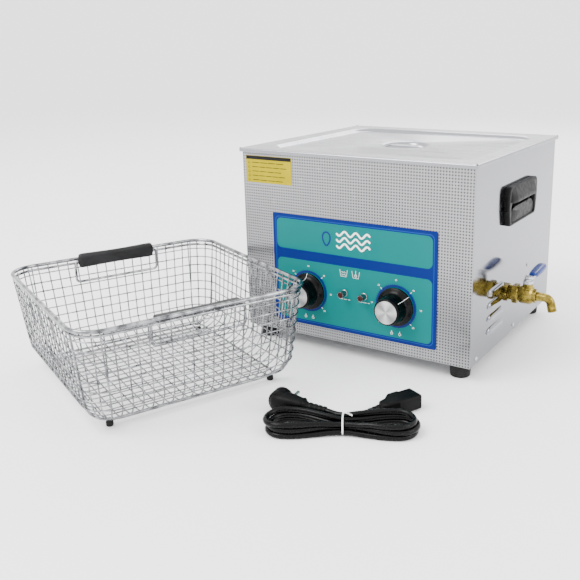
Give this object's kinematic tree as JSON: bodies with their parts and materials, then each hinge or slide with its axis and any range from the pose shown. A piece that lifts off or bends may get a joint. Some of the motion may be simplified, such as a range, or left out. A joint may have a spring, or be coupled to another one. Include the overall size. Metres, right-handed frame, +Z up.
{
  "type": "ultrasonic cleaner",
  "caption": "Bench-top ultrasonic cleaner: a box with a heated tank, lid, dials, side handles and a drain valve, with its wire basket and mains lead beside it.",
  "frame": {"origin": "on the floor, under the middle of the footprint of the cleaner and its basket", "axes": "+Z up, -Y the way the cleaner's front faces, +X towards its drain valve"},
  "size_m": [0.6376, 0.6836, 0.2823],
  "materials": {
    "embossed_stainless": "embossed with small raised squares",
    "stainless": "polished",
    "polished_wire": "electropolished wire",
    "overlay_teal": "printed film",
    "sticker_yellow": "printed sticker",
    "black_plastic": "moulded",
    "black_rubber": "matte",
    "aluminium": "satin",
    "chrome_plate": "plated",
    "red_lens": "translucent",
    "brass": "bright",
    "blue_vinyl": "dipped",
    "board_green": "solder mask",
    "silicone_heater": "silicone",
    "tie_white": "coated wire"
  },
  "bodies": {
    "cleaner": {"front_panel": "embossed_stainless", "right_side_panel": "stainless", "left_side_panel": "stainless", "back_panel": "stainless", "base_plate": "stainless", "tank": "stainless", "control_panel": "overlay_teal", "warning_label": "sticker_yellow", "thermostat": "black_plastic", "timer_switch": "black_plastic", "heating_lamp_bezel": "chrome_plate", "heating_lamp_lens": "red_lens", "working_lamp_bezel": "chrome_plate", "working_lamp_lens": "red_lens", "handle_right": "black_plastic", "handle_left": "black_plastic", "drain_pipe": "brass", "drain_locknut": "brass", "valve_nipple": "brass", "valve_body": "brass", "valve_gland_nut": "stainless", "valve_spout": "brass", "transducer_1": "aluminium", "transducer_2": "aluminium", "transducer_3": "aluminium", "transducer_4": "aluminium", "transducer_5": "aluminium", "transducer_6": "aluminium", "heater_pad": "silicone_heater", "generator_board": "board_green", "board_heatsink": "aluminium", "fan_frame": "black_plastic", "power_inlet": "black_plastic", "foot_1": "black_rubber", "foot_2": "black_rubber", "foot_3": "black_rubber", "foot_4": "black_rubber", "cord_hank": "black_plastic", "cord_tie": "tie_white", "mains_plug": "black_plastic", "mains_connector": "black_plastic"},
    "lid": {"lid": "stainless", "lid_pull": "stainless"},
    "timer_dial": {"timer_knob": "black_plastic", "timer_knob_cap": "aluminium", "timer_shaft": "stainless"},
    "thermostat_dial": {"thermostat_knob": "black_plastic", "thermostat_knob_cap": "aluminium", "thermostat_shaft": "stainless"},
    "valve_handle": {"valve_stem": "stainless", "valve_ball": "chrome_plate", "valve_lever": "stainless", "valve_lever_grip": "blue_vinyl"},
    "fan": {"fan_rotor": "black_plastic"},
    "basket": {"basket_mesh": "polished_wire", "basket_rim": "polished_wire"},
    "basket_bail_front": {"basket_handle_front": "polished_wire", "basket_grip_front": "black_rubber"},
    "basket_bail_back": {"basket_handle_back": "polished_wire", "basket_grip_back": "black_rubber"}
  },
  "joints": [
    {"name": "lid_lift", "type": "slide", "parent": "cleaner", "child": "lid", "axis": [0, 0, 1], "range_m": [0, 0.15]},
    {"name": "timer_turn", "type": "hinge", "parent": "cleaner", "child": "timer_dial", "pos_m": [0.13983, 0.01133, 0.087], "axis": [0, -1, 0], "range_deg": [-250, 50]},
    {"name": "thermostat_turn", "type": "hinge", "parent": "cleaner", "child": "thermostat_dial", "pos_m": [0.00283, 0.01133, 0.087], "axis": [0, -1, 0], "range_deg": [-270, 0]},
    {"name": "valve_turn", "type": "hinge", "parent": "cleaner", "child": "valve_handle", "pos_m": [0.27814, 0.13173, 0.0905], "axis": [0, 0, 1], "range_deg": [-90, 0]},
    {"name": "fan_spin", "type": "hinge", "parent": "cleaner", "child": "fan", "pos_m": [-0.01492, 0.32543, 0.076], "axis": [0, 1, 0], "continuous": true},
    {"name": "basket_lift", "type": "slide", "parent": "cleaner", "child": "basket", "axis": [0, 0, 1], "range_m": [0, 0.15]},
    {"name": "front_bail_raise", "type": "slide", "parent": "basket", "child": "basket_bail_front", "axis": [0, 0, 1], "range_m": [0, 0.02]},
    {"name": "back_bail_raise", "type": "slide", "parent": "basket", "child": "basket_bail_back", "axis": [0, 0, 1], "range_m": [0, 0.02]}
  ]
}
